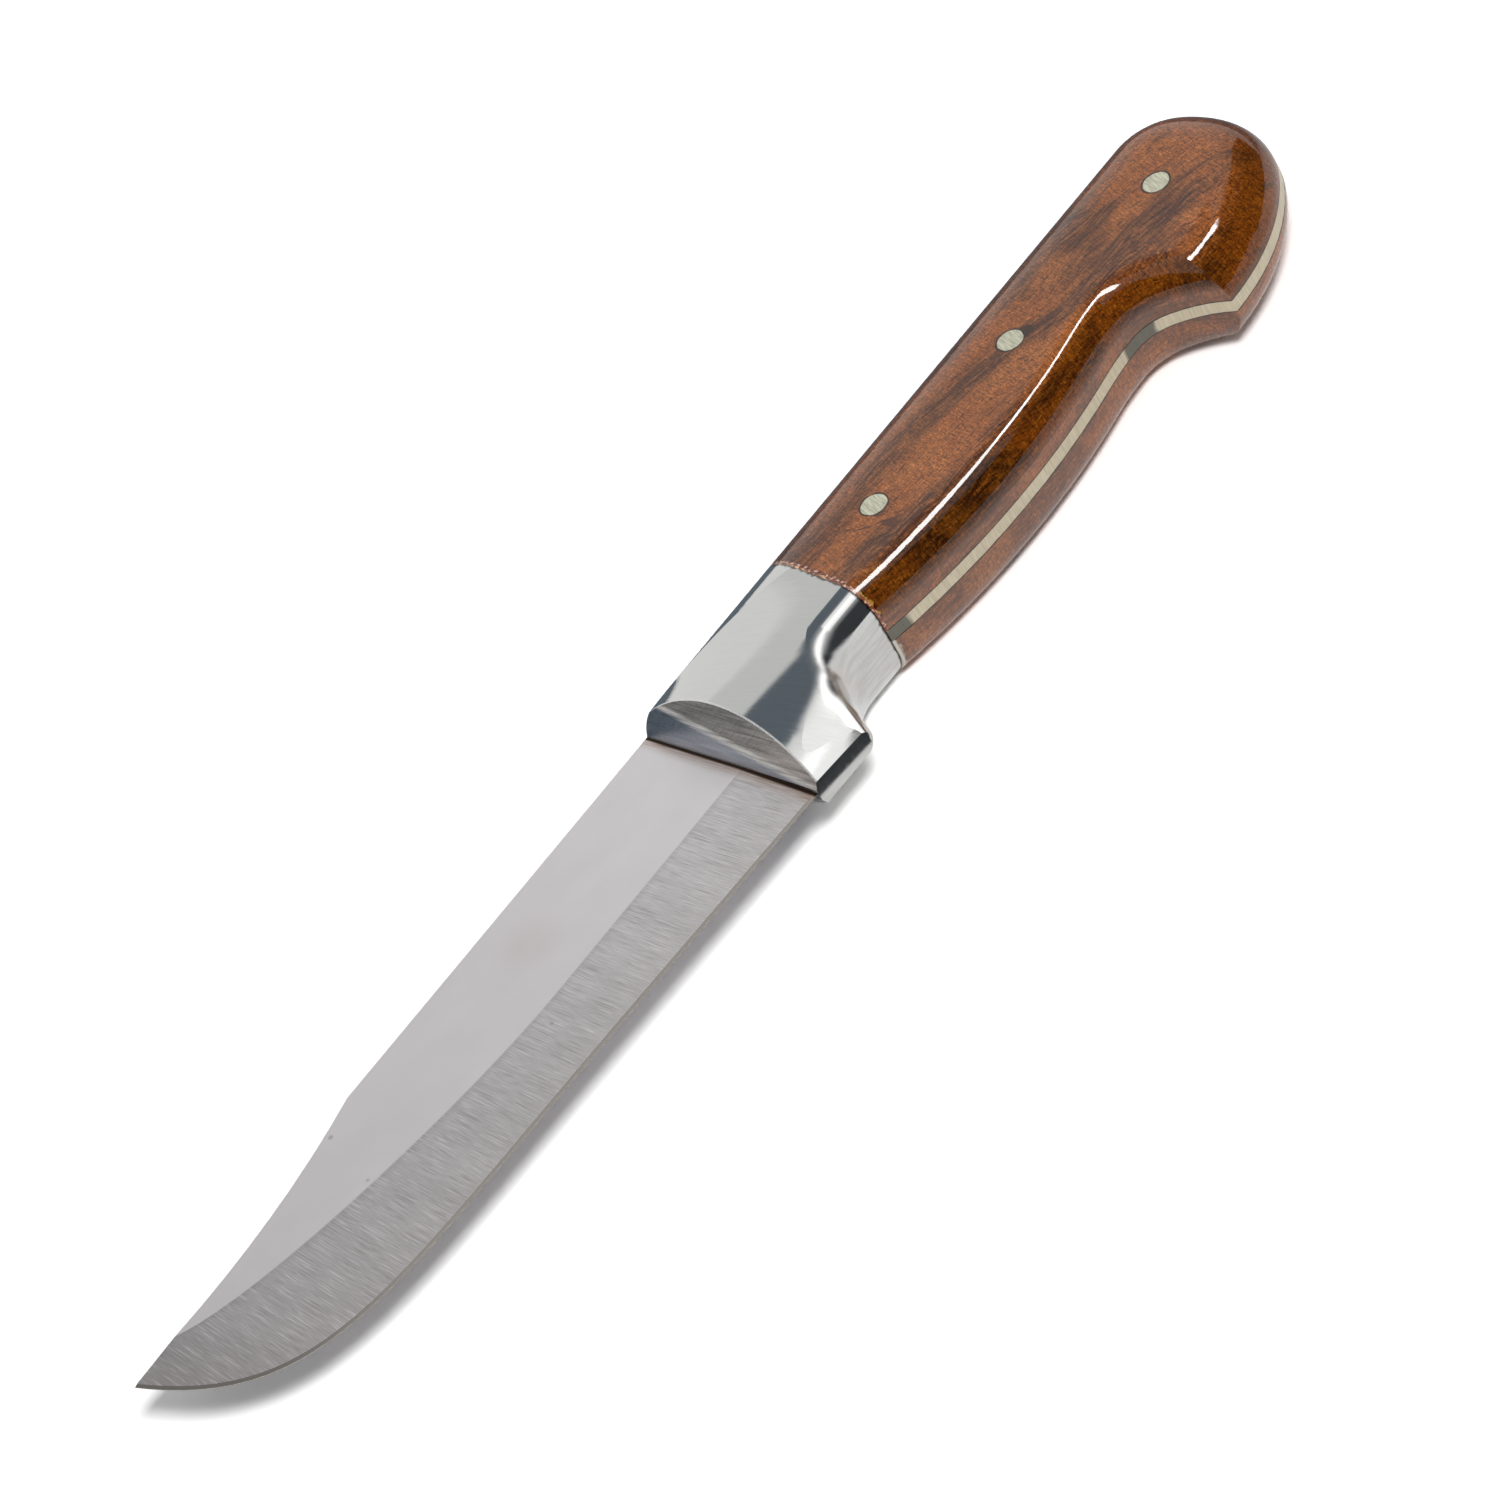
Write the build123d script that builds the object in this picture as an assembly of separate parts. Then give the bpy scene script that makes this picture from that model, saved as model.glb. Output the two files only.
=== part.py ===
from build123d import *
import os
from math import sin, cos, radians, sqrt, tan

# Boning knife: a ground steel blank whose full tang is held between two walnut scales by
# three rivets, with a bolster cast round the neck of the blank.
#
# Sizes are millimetres. While the pieces are made, X runs along the knife with the tip at -X,
# Y points from the cutting edge to the spine, and Z goes through the thickness. X = 0 is where
# the blade leaves the bolster, Y = 0 is the spine and Z = 0 is the middle of the steel. A depth
# is a distance from the spine toward the edge. The finished knife lies on its right side, and
# its origin is on that resting surface under the middle of the knife.

# ---- steel blank ----
steel_thickness = 2.5
blade_length = 150.0
heel_depth = 41.4
edge_straight = 54.0
edge_rise = 1.7
edge_reach = 63.7
tip_fullness = 39.0
tip_lean = 9.4
tip_drop = 4.2
clip_length = 64.0
clip_hollow = 2.75
grind_depth = 23.5
grind_straight = 54.0
grind_reach = 23.6
grind_fullness = 9.7
grind_lean = 12.7
grind_runout = 11.0
shoulder_thickness = 0.5
hone_width = 0.7
honed_thickness = 0.06
blade_root = 1.5
neck_inset = 4.0
neck_depth = 27.0
key_hole_radius = 3.5
key_hole_spacing = 12.0

# ---- grip outline, shared by the tang, the glue and the scales ----
grip_length = 157.5
grip_half_thickness = 11.0
seam_x = 37.0
seam_lean = 3.9
seam_gap = 0.5
back_round_width = 13.0
flat_shaving = 0.02
belly_round = 7.0
grip_front_x = 30.0
grip_front_depth = 29.0
swell_angle = 15.75
swell_bias = 8.0
waist_depth = 31.2
hook_reach = 13.5
hook_bias = 0.7
beak_setback = 36.5
beak_depth = 44.8
beak_angle = 72.0
butt_bias = 2.0
butt_depth = 18.0
crest_bias = 0.4
crest_setback = 15.0
glue_thickness = 0.2

# ---- bolster ----
recess_depth = 29.9
sweep_top_x = 20.5
sweep_bottom_x = 15.0
sweep_round = 10.0
rim_tilt = 31
rim_clearance = 0.5
rim_round = 4.5
guard_depth = 42.6
guard_rise = 0.7
guard_half_thickness = 2.1
guard_corner_round = 1.6
crown_depth = 17.0
crown_overhang = 2.0
crown_edge_height = 2.7
flat_depth = 24.0
front_bevel = 21.0
second_bevel = 0.1
second_twist = 0.018

# ---- rivets ----
rivet_x = 53.0
rear_rivet_setback = 22.3
rivet_depths = (17.4, 17.4, 20.4)
rivet_names = ("front_rivet", "middle_rivet", "rear_rivet")
rivet_radius = 2.0
rivet_head_radius = 2.6
rivet_sink = 1.4

# How far the helping solids reach past the knife before they are trimmed away.
spare = 20.0

half_steel = steel_thickness / 2
beak_x = grip_length - beak_setback
waist_x = beak_x - hook_reach
crest_x = grip_length - crest_setback
tang_face = half_steel + glue_thickness
seam_normal = (1, -tan(radians(seam_lean)), 0)
seam = Plane(origin=(seam_x, 0, 0), z_dir=seam_normal)
bolster_rear = seam.offset(-seam_gap / 2)
scale_front = seam.offset(seam_gap / 2)


def mirrored(shape):
    """The same piece on the other side of the blank."""
    return mirror(shape, about=Plane.XY)


# ---------------------------------------------------------------- steel blank
def clip_curve(inset):
    """Hollow spine from the tip back to where the straight spine starts."""
    tip = (inset - blade_length, -tip_drop)
    return SagittaArc(tip, (clip_length - blade_length, 0), -clip_hollow)


def blade_outline(lower_curves, clip, height):
    """Closed blade profile at one height, from a lower line and a stretch of the clip."""
    start = lower_curves[0] @ 0
    heel = Line((blade_root, 0), start)
    spine = Line(clip @ 1, (blade_root, 0))
    face = make_face([heel, *lower_curves, clip, spine])
    return Pos(0, 0, height) * face


def edge_outline(inset, height):
    """Blade profile bounded by the cutting edge, drawn in from it by a small inset."""
    slope = edge_rise / edge_straight
    clip = clip_curve(inset)
    turn_y = inset + edge_rise - heel_depth
    start = (blade_root, turn_y - slope * (edge_straight + blade_root))
    turn = (-edge_straight, turn_y)
    reach = (-edge_straight - edge_reach, turn_y + slope * edge_reach)
    full = (inset + tip_lean - blade_length, inset - tip_drop - tip_fullness)
    belly = Bezier(turn, reach, full, clip @ 0)
    return blade_outline([Line(start, turn), belly], clip, height)


def flat_outline(height):
    """Profile of the unground flat, which ends at the grind line."""
    clip = clip_curve(0).trim(grind_runout / clip_length, 1)
    runout = clip @ 0
    start = (blade_root, -grind_depth)
    turn = (-grind_straight, -grind_depth)
    reach = (-grind_straight - grind_reach, -grind_depth)
    full = (runout.X + grind_lean, runout.Y - grind_fullness)
    sweep = Bezier(turn, reach, full, runout)
    return blade_outline([Line(start, turn), sweep], clip, height)


def blade():
    """Blade with a flat grind on both sides and a honed edge."""
    shoulder = shoulder_thickness / 2
    honed = honed_thickness / 2
    sections = [
        flat_outline(half_steel),
        edge_outline(hone_width, shoulder),
        edge_outline(0, honed),
        edge_outline(0, -honed),
        edge_outline(hone_width, -shoulder),
        flat_outline(-half_steel),
    ]
    return loft(sections, ruled=True)


def neck():
    """Narrow stretch of the blank inside the bolster, with holes that key the casting."""
    height = neck_depth - neck_inset
    length = seam_x + seam_gap
    plate = Pos(length / 2, -neck_inset - height / 2) * Rectangle(length, height)
    middle = (seam_x + blade_root) / 2
    for side in (-1, 1):
        place = Pos(middle + side * key_hole_spacing / 2, -neck_inset - height / 2)
        plate -= place * Circle(key_hole_radius)
    return extrude(plate, half_steel, both=True)


def blade_and_tang():
    tang = split(extrude(grip_plan(), half_steel, both=True), bisect_by=bolster_rear)
    blank = blade() + neck() + tang
    for place in rivet_places():
        blank -= place * rivet()
    return blank


# ---------------------------------------------------------------- grip
def two_arcs(start, leaving, end, arriving, bias):
    """Two arcs in one smooth line with given directions at its ends.

    Each arc spans two equal tangents, and the first arc's are bias times the second's.
    """
    chord = Vector(end) - Vector(start)
    squared = 2 * bias * (leaving.dot(arriving) - 1)
    linear = -2 * chord.dot(leaving * bias + arriving)
    root = sqrt(linear**2 - 4 * squared * chord.dot(chord))
    tangent = (-linear - root) / (2 * squared)
    first_corner = Vector(start) + leaving * bias * tangent
    second_corner = Vector(end) - arriving * tangent
    joint = first_corner + (second_corner - first_corner) * (bias / (bias + 1))
    first = TangentArc(start, joint, tangent=leaving)
    return [first, TangentArc(joint, end, tangent=first % 1)]


def toward(angle):
    """Direction at an angle above the way back along the knife."""
    return Vector(1, 0).rotate(Axis.Z, angle)


def back_plan():
    """Spine and butt outline; its front and underside run on past the knife."""
    beak = (beak_x, -beak_depth)
    rear = (grip_length, -butt_depth)
    crest = (crest_x, 0)
    front_bottom = (-spare, -beak_depth)
    butt = two_arcs(beak, toward(0), rear, toward(90), butt_bias)
    corner = two_arcs(rear, toward(90), crest, toward(180), crest_bias)
    sides = Polyline(crest, (-spare, 0), front_bottom, beak)
    return make_face([*butt, *corner, *sides.edges()])


def belly_plan():
    """Swell, waist and underside of the beak; the other sides run on past the knife."""
    front = (grip_front_x, -grip_front_depth)
    waist = (waist_x, -waist_depth)
    beak = (beak_x, -beak_depth)
    swell = two_arcs(front, toward(-swell_angle), waist, toward(0), swell_bias)
    hook = two_arcs(waist, toward(0), beak, toward(-beak_angle), hook_bias)
    fore = Vector(front) - toward(-swell_angle) * spare
    low = Vector(beak) + toward(-beak_angle) * spare
    right = grip_length + spare
    rest = Polyline(beak, low, (right, low.Y), (right, spare), (fore.X, spare), fore, front)
    return make_face([*swell, *hook, *rest.edges()])


def grip_plan():
    return back_plan() & belly_plan()


def rounded_slab(plan, height, radius):
    """Upright plate over a plan, with its top rim rounded."""
    slab = extrude(plan, height)
    rim = slab.edges().group_by(Axis.Z)[-1]
    return fillet(rim, radius)


def back_half(plan):
    """Half plate over a plan; its rim is a quarter of a flattened circle."""
    height = grip_half_thickness + flat_shaving
    flattening = (height - half_steel) / back_round_width
    tall = rounded_slab(plan, height / flattening, back_round_width)
    rough = scale(tall, by=(1, 1, flattening))
    return split(rough, bisect_by=Plane.XY.offset(grip_half_thickness), keep=Keep.BOTTOM)


def grip_half(low):
    """Rounded grip above one height; the two rounded rims meet in a crease at the beak."""
    whole = back_half(back_plan()) & rounded_slab(belly_plan(), grip_half_thickness, belly_round)
    return split(whole, bisect_by=Plane.XY.offset(low))


def wood_scale():
    """One walnut scale, bedded on its glue and drilled for the rivets."""
    wood = split(grip_half(tang_face), bisect_by=scale_front)
    for place in rivet_places():
        wood -= place * rivet()
    return wood


def adhesive():
    """Film of glue between the tang and one scale."""
    film = Pos(0, 0, half_steel) * extrude(grip_plan(), glue_thickness)
    film = split(film, bisect_by=scale_front)
    for place in rivet_places():
        film -= place * rivet()
    return film


def seam_resin():
    """Filler in the joint between the bolster and one scale."""
    bead = split(grip_half(half_steel), bisect_by=bolster_rear)
    return split(bead, bisect_by=scale_front, keep=Keep.BOTTOM)


# ---------------------------------------------------------------- bolster
def sweep_plan():
    """Underside of the bolster, which sweeps down into the back of the guard."""
    lean = (sweep_top_x - sweep_bottom_x) / (guard_depth - recess_depth)
    low = guard_depth + spare
    low_x = sweep_bottom_x - lean * spare
    rear = seam_x + spare
    points = [(rear, -recess_depth), (sweep_top_x, -recess_depth), (low_x, -low)]
    points += [(-spare, -low), (-spare, spare), (rear, spare)]
    plan = make_face(Polyline(*points, close=True))
    inner = plan.vertices().sort_by_distance((sweep_top_x, -recess_depth))[0]
    return fillet(inner, sweep_round)


def sweep_slab():
    """Plate over the same outline; its top falls toward the guard, and its rim is rounded."""
    fall = radians(rim_tilt)
    edge = (0, -guard_depth, guard_half_thickness + rim_clearance)
    top = Plane(origin=edge, z_dir=(0, -sin(fall), cos(fall)))
    column = extrude(Pos(0, 0, -spare) * sweep_plan(), 4 * spare)
    slab = split(column, bisect_by=top, keep=Keep.BOTTOM)
    rim = slab.faces().sort_by(Axis.Z)[-1].edges()
    return fillet(rim, rim_round)


def thickness_section(x, crown_point, spine_point, flat):
    """Outline of half the bolster across the knife, seen from the front."""
    guard_top = (-guard_depth, guard_half_thickness)
    low = -guard_depth - spare
    if flat:
        upper = Line(spine_point, crown_point)
    else:
        upper = TangentArc(crown_point, spine_point, tangent=(1, 0))
    lower = TangentArc(crown_point, guard_top, tangent=(-1, 0))
    rest = Polyline(guard_top, (low, guard_half_thickness), (low, 0), (spine_point[0], 0), spine_point)
    face = make_face([upper, lower, *rest.edges()])
    across = Plane(origin=(x, 0, 0), x_dir=(0, 1, 0), z_dir=(1, 0, 0))
    return across * face


def thickness_form():
    """Crowned cheek at the front that turns into the flat of the grip at the seam."""
    height = grip_half_thickness
    edge = (crown_overhang, crown_edge_height)
    front = thickness_section(0, (-crown_depth, height), edge, flat=False)
    rear = thickness_section(seam_x, (-flat_depth, height), (edge[0], height), flat=True)
    return loft([front, rear], ruled=True)


def guard_plan():
    """Front and lower limits of the bolster."""
    points = [(0, spare), (0, guard_rise - guard_depth), (sweep_bottom_x, -guard_depth)]
    points += [(seam_x, -guard_depth), (seam_x, spare)]
    plan = make_face(Polyline(*points, close=True)) & sweep_plan()
    corner = plan.vertices().sort_by_distance((sweep_bottom_x, -guard_depth))[0]
    return fillet(corner, guard_corner_round)


def spine_plan():
    """Straight spine over the bolster; the other sides run on past it."""
    low = -guard_depth - spare
    rear = seam_x + spare
    return make_face(Polyline((-spare, 0), (-spare, low), (rear, low), (rear, 0), close=True))


def bolster_half():
    half = back_half(spine_plan()) & rounded_slab(sweep_plan(), grip_half_thickness, belly_round)
    half = half & sweep_slab() & thickness_form() & extrude(guard_plan(), grip_half_thickness)
    slope = tan(radians(front_bevel))
    first = Plane(origin=(0, 0, half_steel), z_dir=(1, 0, -slope))
    second_normal = (1, second_twist, -slope - second_bevel)
    second = Plane(origin=(0, -heel_depth, half_steel), z_dir=second_normal)
    half = split(half, bisect_by=first)
    half = split(half, bisect_by=second)
    return split(half, bisect_by=bolster_rear, keep=Keep.BOTTOM)


def bolster(blank):
    """Both cheeks as one casting, poured round the neck and through its holes."""
    half = bolster_half()
    return half + mirrored(half) - blank


# ---------------------------------------------------------------- rivets
def rivet():
    """Solid pin whose ends are spread into countersinks and ground flush with the wood."""
    end = grip_half_thickness
    neck_z = end - rivet_sink
    points = [(0, -end), (rivet_head_radius, -end), (rivet_radius, -neck_z)]
    points += [(rivet_radius, neck_z), (rivet_head_radius, end), (0, end)]
    profile = Plane.XZ * make_face(Polyline(*points, close=True))
    return revolve(profile, Axis.Z)


def rivet_places():
    """Rivets at an even pitch along the grip, at the depths that suit its width."""
    pitch = (grip_length - rear_rivet_setback - rivet_x) / (len(rivet_depths) - 1)
    return [Pos(rivet_x + i * pitch, -depth) for i, depth in enumerate(rivet_depths)]


# ---------------------------------------------------------------- knife
blank = blade_and_tang()
left_scale = wood_scale()
left_film = adhesive()
left_bead = seam_resin()
pieces = {
    "blade_and_tang": blank,
    "bolster": bolster(blank),
    "left_scale": left_scale,
    "right_scale": mirrored(left_scale),
    "left_adhesive": left_film,
    "right_adhesive": mirrored(left_film),
    "left_seam_resin": left_bead,
    "right_seam_resin": mirrored(left_bead),
}
for name, place in zip(rivet_names, rivet_places()):
    pieces[name] = place * rivet()

box = Compound(list(pieces.values())).bounding_box()
centre = box.center()
to_rest = Pos(-centre.X, -centre.Y, -box.min.Z)

os.makedirs("parts", exist_ok=True)
for name, piece in pieces.items():
    export_step(to_rest * piece, f"parts/{name}.step")
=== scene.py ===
"""Boning knife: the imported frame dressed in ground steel, a polished bolster, lacquered walnut
and bright rivets, lying on a white table in a soft studio."""

import math

import bmesh
import bpy
from mathutils import Matrix, Vector


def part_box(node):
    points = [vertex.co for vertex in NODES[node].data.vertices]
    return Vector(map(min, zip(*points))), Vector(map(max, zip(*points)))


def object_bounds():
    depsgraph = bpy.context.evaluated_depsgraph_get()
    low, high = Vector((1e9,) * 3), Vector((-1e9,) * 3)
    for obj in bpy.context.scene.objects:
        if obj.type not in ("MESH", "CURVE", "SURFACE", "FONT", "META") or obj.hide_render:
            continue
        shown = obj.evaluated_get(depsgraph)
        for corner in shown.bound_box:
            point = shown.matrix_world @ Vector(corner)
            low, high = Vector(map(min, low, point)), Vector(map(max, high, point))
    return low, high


bl_info = {
    "name": "Boning Knife",
    "version": (1, 0, 0),
    "blender": (4, 5, 0),
    "location": "3D View > Sidebar > Knife",
    "description": "Dresses the boning knife piece by piece and sets its studio",
    "category": "Object",
}

MM = 0.001

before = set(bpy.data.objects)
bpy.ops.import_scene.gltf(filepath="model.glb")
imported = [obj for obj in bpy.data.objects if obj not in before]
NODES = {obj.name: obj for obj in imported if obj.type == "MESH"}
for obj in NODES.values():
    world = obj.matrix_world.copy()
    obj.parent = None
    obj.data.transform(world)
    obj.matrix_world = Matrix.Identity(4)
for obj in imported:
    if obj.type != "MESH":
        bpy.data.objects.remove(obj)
CAD_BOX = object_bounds()

BLADE_LOW, BLADE_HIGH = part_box("blade_and_tang")
MID_HEIGHT = (BLADE_LOW.z + BLADE_HIGH.z) / 2
HALF_STEEL = (BLADE_HIGH.z - BLADE_LOW.z) / 2
BEAD_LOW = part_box("left_seam_resin")[0]
RIVETS = ("front_rivet", "middle_rivet", "rear_rivet")

# Where the blade leaves the bolster, on its face.
BLADE_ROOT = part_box("bolster")[0].x
# The plane that divides the two front facets, and the plane of the arc above them. Then the
# crease under the belly's rounding, and how far round it the blend reaches.
FACET_SPLIT = ((0, 0.018, -0.1), 1.567 * MM)
FACET_EDGE = ((1, 0.018, -0.4839), 10.02 * MM)
BLEND_SPOT = Vector((13.0, -7.5, 15.0)) * MM
BLEND_REACH = Vector((15.0, 9.5, 12.0)) * MM
# Marks on the flat of the blade: place, reach, colour setting and strength.
BLADE_MARKS = (
    ((-50 * MM, 12 * MM), 7 * MM, "rust", 0.09),
    ((-97.9 * MM, 19.2 * MM), 0.6 * MM, "grime", 0.35),
    ((-103 * MM, 5.2 * MM), 0.5 * MM, "grime", 0.28),
    ((-63 * MM, -5 * MM), 0.5 * MM, "grime", 0.28),
)
# The seam leans: its X is SEAM_FOOT + SEAM_SLOPE * Y on the wood's side.
SEAM_SLOPE = math.tan(math.radians(3.9))
SEAM_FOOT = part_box("left_scale")[0].x - BEAD_LOW.y * SEAM_SLOPE
BOLSTER_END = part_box("bolster")[1].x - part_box("bolster")[1].y * SEAM_SLOPE
# A patch of curl in the left scale, and a blot of filler beside the middle rivet.
CURL_SPOT = (45 * MM, 2 * MM)
BLOT_SPOT = (93 * MM, 3.6 * MM)
# Painted shade: the flat and the bevel are drawn darker from here to the tip, and once more over
# the last stretch, standing in for light that dims along the blade. That this belongs to the
# steel and not to the light is a guess.
FALL_START = -12 * MM
TIP_END = 22 * MM
TIP_END_SHADE = 0.72
# Dark grey patches drawn on the edge of the tang: place and reach.
TANG_PATCHES = (((105 * MM, -9.2 * MM), 4.2 * MM), ((31 * MM, -8 * MM), 5 * MM))


# --- Colours and sizes that a user would change -------------------------------------------------


def from_hex(code):
    """Turns an sRGB hex colour into the linear values that shaders take."""
    channels = [int(code[place : place + 2], 16) / 255 for place in (1, 3, 5)]
    return tuple(c / 12.92 if c <= 0.04045 else ((c + 0.055) / 1.055) ** 2.4 for c in channels)


def colour(name, description, code):
    """A colour setting with an sRGB hex default."""
    return bpy.props.FloatVectorProperty(
        name=name,
        description=description,
        subtype="COLOR",
        size=3,
        min=0,
        max=1,
        default=from_hex(code),
    )


def length(name, description, millimetres):
    """A length setting with a default in millimetres."""
    return bpy.props.FloatProperty(
        name=name,
        description=description,
        subtype="DISTANCE",
        unit="LENGTH",
        min=0,
        default=millimetres * MM,
    )


def angle(name, description, degrees):
    """An angle setting with a default in degrees."""
    return bpy.props.FloatProperty(
        name=name,
        description=description,
        subtype="ANGLE",
        unit="ROTATION",
        default=math.radians(degrees),
    )


def factor(name, description, default, highest=1):
    """A plain number setting from nothing up to highest."""
    return bpy.props.FloatProperty(
        name=name, description=description, min=0, max=highest, default=default
    )


class KnifeSteel(bpy.types.PropertyGroup):
    """Finish of the blade, the tang and the bolster."""

    flat: colour("Flat", "Rolled and satin finished side of the blade", "#DFDBDD")
    grind: colour("Grind", "Bevel ground across the blade", "#CCC8CA")
    # Shine colours the real bright grinding marks on the blade, and the painted highlights along
    # the bolster's edges.
    shine: colour("Shine", "Bright grinding marks and ridges", "#F2F0EC")
    hone: colour("Hone", "Narrow honed edge", "#75716D")
    scratch: colour("Scratch", "Deeper grinding marks", "#8A8683")
    tang: colour("Tang", "Edge of the tang between the scales", "#D2C8B0")
    # Patch: the dark grey drawn in two spots on the tang's edge.
    patch: colour("Patch", "Grey filler in the low spots of the tang", "#5A5C58")
    rust: colour("Rust", "Thin rust film near the bolster", "#9A7250")
    grime: colour("Grime", "Dark line where two pieces meet", "#3A2A20")
    polish: colour("Polish", "Mirror polished bolster", "#D2D2D0")
    linish: colour("Linish", "Belt marks on the upper front facets of the bolster", "#B5AFA9")
    facet: colour("Facet", "Lower front facets of the bolster", "#A3A8B0")
    pit: colour("Pit", "Small casting pits", "#2A2826")
    grind_tilt: angle("Grind tilt", "Angle between the flat and the bevel", 2.6)
    grind_fade: length("Grind fade", "Width over which the flat turns into the bevel", 0.7)
    hone_thickness: length("Hone thickness", "Steel thickness where the honed edge starts", 0.5)
    # Painted shade: width of the darker band drawn inside the grind line.
    painted_shade_width: length("Shoulder width", "Width of the darker band inside the grind line", 2.2)
    # Painted shade: how bright the flat and the bevel are drawn at the tip.
    tip_flat_painted_shade: factor("Tip flat", "Brightness of the flat at the tip", 0.79)
    tip_grind_painted_shade: factor("Tip grind", "Brightness of the bevel at the tip", 0.62)
    warm: colour("Warm", "Straw tint near the edge", "#BBB2A9")
    scratch_spacing: length("Scratch spacing", "Distance between grinding marks", 0.17)
    scratch_length: length("Scratch length", "Length of one grinding mark", 8)
    heel_turn: angle("Heel turn", "Lean of the grinding marks at the heel", 3)
    tip_turn: angle("Tip turn", "Lean of the grinding marks at the tip", -9)
    rust_reach: length("Rust reach", "Width of the rusty band in front of the bolster", 3.6)
    # Painted highlight: width of the bright line drawn along the bolster's front arc.
    painted_ridge_highlight: length("Ridge", "Width of the burnished line along the front arc", 0.45)
    blend: length("Blend", "Radius that the felt wheel leaves at the foot of the belly", 4)


class KnifeWood(bpy.types.PropertyGroup):
    """Walnut of the two scales and its lacquer."""

    dark: colour("Dark", "Dark figure and late wood", "#482410")
    middle: colour("Middle", "Main colour of the walnut", "#96521F")
    light: colour("Light", "Light streaks of early wood", "#B87139")
    pore: colour("Pore", "Short open pores filled with lacquer", "#2A1208")
    filler: colour("Filler", "Dark filler round the rivets", "#241610")
    stain: colour("Stain", "Dark filler run onto the wood at the seam", "#5A2214")
    crumb: colour("Crumb", "Copper crumbs in that filler", "#EFC3AE")
    putty: colour("Putty", "Pale putty that fills the seam on the far side", "#B9B3A8")
    # Painted reflection: colour of the pale veil laid over the wood.
    painted_sheen: colour("Haze", "Pale veil over the wood, toward the tang", "#A88C82")
    # Painted shade: the share of the wood's colour kept on a scale's rounding.
    rounding_painted_shade: colour("Soak", "Share of the colour kept where a scale turns down", "#B8AC5A")
    grain_turn: angle("Grain turn", "Lean of the grain from the length of the grip", -12)
    curl_turn: angle("Curl turn", "Lean of the curl by the front rivet", 35)
    figure: length("Figure", "Width of the dark figure bands", 8)
    fibre: length("Fibre", "Width of one fibre streak", 0.5)
    pore_length: length("Pore length", "Length of one pore", 2.6)
    lacquer_wave: length("Lacquer wave", "Size of the ripples in the lacquer", 2.6)


class KnifeTrim(bpy.types.PropertyGroup):
    """Rivets, glue lines and the filler in the seam."""

    rivet: colour("Rivet", "Brushed nickel silver", "#DAD8C2")
    glue: colour("Glue", "Dark glue between the tang and the scales", "#1C1510")
    resin: colour("Resin", "Amber filler in the seam", "#7A3A22")
    putty: colour("Putty", "Pale putty that fills the seam on the far side", "#C9C5BC")
    sparkle: colour("Sparkle", "Copper flakes in the filler", "#F0C39A")
    rivet_gap: length("Rivet gap", "Widest gap between a rivet and the wood", 0.22)


class KnifeStudio(bpy.types.PropertyGroup):
    """Light round the knife."""

    ambient: factor("Ambient", "Plain light from all round", 0.36, 4)
    strip: factor("Strip", "Radiance of the narrow strip lamp", 26, 100)
    gleam: factor("Gleam", "Radiance of the strip for the bolster", 2.2, 100)
    sky: factor("Sky", "Radiance of the faint high panel for the bolster", 0.09, 100)
    panel: factor("Panel", "Radiance of the panel for the bolster", 0.75, 100)
    key: factor("Key", "Radiance of the soft key lamp, which gloss does not see", 27, 100)
    slate: colour("Slate", "Dark flag overhead", "#677079")
    pale: colour("Pale", "Pale grey flag beside the slate one", "#DFE0DF")
    room: colour("Room", "Unlit room in front of the table", "#3F4145")
    table: factor("Table", "Whiteness of the table top", 0.92)
    table_seen: factor("Table seen", "Whiteness of the table top for the lens", 1.5, 2)
    table_gloss: factor("Table gloss", "How much of that extra whiteness gloss sees", 0.3)


# --- Node helpers --------------------------------------------------------------------------------


def add(tree, kind, inputs=None, **settings):
    """Adds one shader node with its settings and feeds its inputs with nodes, sockets or values."""
    made = tree.nodes.new("ShaderNode" + kind)
    for name, value in settings.items():
        setattr(made, name, value)
    for name, value in (inputs or {}).items():
        if isinstance(value, bpy.types.Node):
            value = value.outputs[0]
        if isinstance(value, bpy.types.NodeSocket):
            tree.links.new(value, made.inputs[name])
        else:
            made.inputs[name].default_value = value
    return made


def number(tree, operation, *terms):
    """One sum on plain values."""
    return add(tree, "Math", dict(enumerate(terms)), operation=operation)


def vector(tree, operation, *terms):
    """One sum on vectors or colours."""
    return add(tree, "VectorMath", dict(enumerate(terms)), operation=operation)


def ramp(tree, value, start, end, low=0, high=1, ease="LINEAR"):
    """Takes a value from start..end to low..high, and holds it beyond both ends."""
    limits = {"From Min": start, "From Max": end, "To Min": low, "To Max": high}
    return add(tree, "MapRange", {"Value": value, **limits}, interpolation_type=ease)


def mix(tree, share, under, over):
    """Lays a share of the second colour over the first."""
    return add(tree, "MixRGB", {"Fac": share, "Color1": under, "Color2": over})


def blank(name):
    """A new material with an empty node tree."""
    made = bpy.data.materials.new(name)
    made.use_nodes = True
    made.node_tree.nodes.clear()
    return made, made.node_tree


def close(tree, shader, kind="OutputMaterial"):
    """Sends the finished shader to the output."""
    add(tree, kind, {"Surface": shader})


def rgba(value):
    """A colour setting as a shader socket takes it."""
    return (*value, 1)


def streaks(tree, place, size, turn=0, detail=3, roughness=0.5):
    """Noise whose cells have this size along X, Y and Z and are turned about Z."""
    cells = add(
        tree,
        "Mapping",
        {"Vector": place, "Rotation": (0, 0, turn), "Scale": size},
        vector_type="TEXTURE",
    )
    return add(
        tree, "TexNoise", {"Vector": cells, "Scale": 1, "Detail": detail, "Roughness": roughness}
    )


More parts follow.
